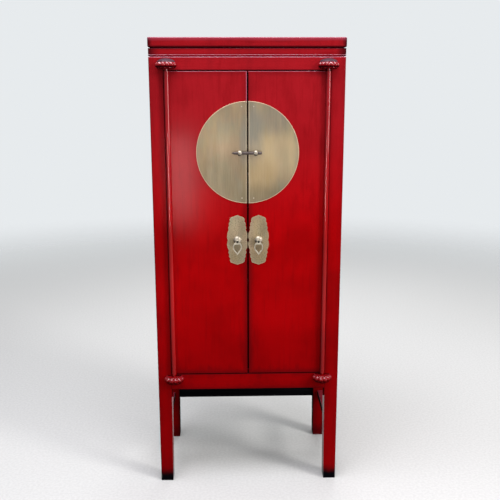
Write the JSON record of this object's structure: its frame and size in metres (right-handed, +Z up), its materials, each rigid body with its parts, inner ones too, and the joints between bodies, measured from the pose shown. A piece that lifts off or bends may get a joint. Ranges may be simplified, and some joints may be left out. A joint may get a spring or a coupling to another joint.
{
  "type": "chinese wedding cabinet",
  "caption": "Tall lacquered two-door cabinet on plain square legs, with round split lock plate, sliding lock pin, scalloped handle plates with leaf pulls, and doors turning in carved sockets.",
  "frame": {"origin": "on the floor, below the middle of the whole cabinet's bounding box (carved sockets and top included)", "axes": "+Z up, the doors face -Y, +X to the right seen from the front"},
  "size_m": [0.752, 0.492, 1.835],
  "materials": {
    "red_lacquer": "glossy red lacquer over wood, rubbed dark along the edges",
    "black_lacquer": "satin black-brown lacquer",
    "antique_brass": "brushed brass with a dull aged patina",
    "dark_brass": "darkened brass"
  },
  "bodies": {
    "cabinet": {"front_left_leg": "red_lacquer", "front_right_leg": "red_lacquer", "back_left_leg": "red_lacquer", "back_right_leg": "red_lacquer", "front_top_rail": "red_lacquer", "front_bottom_rail": "red_lacquer", "left_side_top_rail": "red_lacquer", "right_side_top_rail": "red_lacquer", "back_top_rail": "black_lacquer", "left_side_middle_rail": "red_lacquer", "right_side_middle_rail": "red_lacquer", "back_middle_rail": "black_lacquer", "left_side_bottom_rail": "red_lacquer", "right_side_bottom_rail": "red_lacquer", "back_bottom_rail": "black_lacquer", "left_side_upper_panel": "red_lacquer", "right_side_upper_panel": "red_lacquer", "back_upper_panel": "black_lacquer", "left_side_lower_panel": "red_lacquer", "right_side_lower_panel": "red_lacquer", "back_lower_panel": "black_lacquer", "floor_board": "black_lacquer", "left_stretcher": "red_lacquer", "right_stretcher": "red_lacquer", "back_stretcher": "black_lacquer", "top_frieze": "red_lacquer", "top_frame": "red_lacquer", "top_panel": "red_lacquer", "lower_shelf": "black_lacquer", "upper_shelf": "black_lacquer", "shelf_battens": "black_lacquer", "left_top_socket": "red_lacquer", "left_bottom_socket": "red_lacquer", "right_top_socket": "red_lacquer", "right_bottom_socket": "red_lacquer"},
    "left_door": {"left_door_panel": "red_lacquer", "left_door_post": "red_lacquer", "left_door_battens": "black_lacquer", "left_moon_plate": "antique_brass", "left_plate_nails": "antique_brass", "left_lock_eye": "antique_brass", "left_handle_plate": "antique_brass", "left_pull_boss": "antique_brass"},
    "left_pull": {"left_ring_pull": "antique_brass"},
    "right_door": {"right_door_panel": "red_lacquer", "right_door_post": "red_lacquer", "right_door_battens": "black_lacquer", "right_moon_plate": "antique_brass", "right_plate_nails": "antique_brass", "right_lock_eye": "antique_brass", "right_handle_plate": "antique_brass", "right_pull_boss": "antique_brass"},
    "right_pull": {"right_ring_pull": "antique_brass"},
    "lock_pin": {"lock_pin": "dark_brass"}
  },
  "joints": [
    {"name": "left_door_hinge", "type": "hinge", "parent": "cabinet", "child": "left_door", "pos_m": [-0.308, -0.20903, 1.101], "axis": [0, 0, -1], "range_deg": [0, 170]},
    {"name": "right_door_hinge", "type": "hinge", "parent": "cabinet", "child": "right_door", "pos_m": [0.308, -0.20903, 1.101], "axis": [0, 0, 1], "range_deg": [0, 170]},
    {"name": "left_pull_swing", "type": "hinge", "parent": "left_door", "child": "left_pull", "pos_m": [-0.0425, -0.21603, 1.056], "axis": [-1, 0, 0], "range_deg": [-8, 150]},
    {"name": "right_pull_swing", "type": "hinge", "parent": "right_door", "child": "right_pull", "pos_m": [0.0425, -0.21603, 1.056], "axis": [-1, 0, 0], "range_deg": [-8, 150]},
    {"name": "lock_pin_slide", "type": "slide", "parent": "left_door", "child": "lock_pin", "axis": [-1, 0, 0], "range_m": [0, 0.056]}
  ]
}
